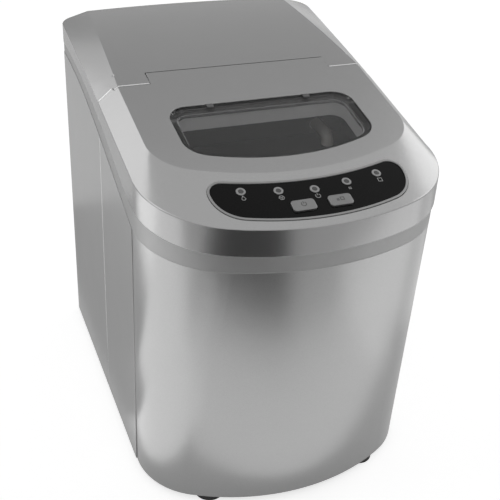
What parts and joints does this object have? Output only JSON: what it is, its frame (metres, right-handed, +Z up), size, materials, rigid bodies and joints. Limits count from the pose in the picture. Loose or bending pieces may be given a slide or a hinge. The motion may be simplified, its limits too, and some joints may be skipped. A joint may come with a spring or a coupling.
{
  "type": "countertop ice maker",
  "caption": "Countertop ice maker with a hinged windowed lid over basket and freezing tray, and a compressor cooling set in the rear",
  "frame": {"origin": "centre of the overall box in plan, at the surface under the feet", "axes": "+Z up, front faces -Y, +X to the right seen from the front"},
  "size_m": [0.241, 0.342, 0.3234],
  "materials": {
    "case_silver": "silver lacquer with a fine metal flake over moulded plastic",
    "panel_silver": "silver powder coat on sheet",
    "rim_grey": "satin grey moulded plastic",
    "fascia_black": "black gloss",
    "bright_trim": "bright plated edge",
    "key_silver": "silver key cap",
    "lens": "grey translucent lens",
    "window_clear": "clear acrylic",
    "gasket": "black foam rubber",
    "liner_grey": "satin grey moulded plastic",
    "tub_grey": "moulded plastic",
    "foam": "off-white foam with an open skin",
    "basket_plastic": "grey moulded plastic",
    "tray_plastic": "dark grey moulded plastic",
    "steel": "zinc plated steel",
    "plated_copper": "nickel plated fingers",
    "copper": "drawn copper tube, slightly tarnished",
    "fins": "bare aluminium",
    "compressor_black": "black baked paint",
    "rubber_black": "black rubber",
    "hose_clear": "milky silicone hose",
    "black_plastic": "black moulded plastic",
    "board_green": "solder mask over laminate",
    "parts_blue": "moulded housings on the board"
  },
  "bodies": {
    "cabinet": {"hinge_pins": "steel", "rear_cover": "case_silver", "rim_frame": "rim_grey", "front_panel": "panel_silver", "right_panel": "panel_silver", "left_panel": "panel_silver", "rear_shell": "panel_silver", "base_tray": "black_plastic", "feet": "rubber_black", "case_screws": "steel", "cord_gland": "rubber_black", "tub": "tub_grey", "tub_insulation": "foam", "ice_sensors": "black_plastic", "ice_chute": "tub_grey", "evaporator": "plated_copper", "evaporator_bracket": "tray_plastic", "tray_motor": "black_plastic", "bulkhead": "panel_silver", "water_pump": "black_plastic", "pump_hose": "hose_clear", "compressor": "compressor_black", "compressor_grommets": "rubber_black", "compressor_bolts": "steel", "compressor_cap": "black_plastic", "condenser_fins": "fins", "condenser_tube": "copper", "fan_shroud": "steel", "fan_motor": "steel", "fan_bracket": "steel", "filter_drier": "copper", "suction_pipe": "copper", "discharge_pipe": "copper", "liquid_line": "copper", "hot_gas_valve": "steel", "hot_gas_pipes": "copper", "control_box": "black_plastic", "main_board": "board_green", "board_components": "parts_blue"},
    "lid": {"lid_shell": "case_silver", "lid_liner": "liner_grey", "lid_screws": "steel", "window_pane": "window_clear", "window_gasket": "gasket", "window_clips": "key_silver", "fascia": "fascia_black", "fascia_trim": "bright_trim", "key_switches": "black_plastic", "key_board": "board_green", "indicator_lamps": "lens", "indicator_rings": "bright_trim", "indicator_lenses": "lens"},
    "left_button": {"left_key": "key_silver"},
    "right_button": {"right_key": "key_silver"},
    "tray": {"water_tray": "tray_plastic", "tray_pins": "steel"},
    "pusher": {"ice_pusher": "tray_plastic"},
    "fan_rotor": {"fan": "black_plastic"},
    "basket": {"ice_basket": "basket_plastic"},
    "drain": {"drain_plug": "rubber_black"}
  },
  "joints": [
    {"name": "lid_hinge", "type": "hinge", "parent": "cabinet", "child": "lid", "pos_m": [0, 0.0248, 0.30618], "axis": [-1, 0, 0], "range_deg": [0, 85]},
    {"name": "left_key_press", "type": "slide", "parent": "lid", "child": "left_button", "axis": [0, 0.26, -0.9656], "range_m": [0, 0.0007], "stiffness_N_per_m": 2000},
    {"name": "right_key_press", "type": "slide", "parent": "lid", "child": "right_button", "axis": [0, 0.26, -0.9656], "range_m": [0, 0.0007], "stiffness_N_per_m": 2000},
    {"name": "tray_tilt", "type": "hinge", "parent": "cabinet", "child": "tray", "pos_m": [0, -0.018, 0.225], "axis": [1, 0, 0], "range_deg": [0, 64]},
    {"name": "pusher_sweep", "type": "hinge", "parent": "cabinet", "child": "pusher", "pos_m": [0, -0.018, 0.225], "axis": [1, 0, 0], "range_deg": [-83.2, 0]},
    {"name": "fan_spin", "type": "hinge", "parent": "cabinet", "child": "fan_rotor", "pos_m": [0, 0.092, 0.104], "axis": [1, 0, 0], "continuous": true},
    {"name": "basket_lift", "type": "slide", "parent": "cabinet", "child": "basket", "axis": [0, 0, 1], "range_m": [0, 0.02]},
    {"name": "drain_turn", "type": "hinge", "parent": "cabinet", "child": "drain", "pos_m": [0.055, -0.09, 0.01], "axis": [0, 0, 1], "range_deg": [0, 90]}
  ],
  "couplings": [
    {"joint": "pusher_sweep", "follows": "tray_tilt", "ratio": -1.3}
  ]
}
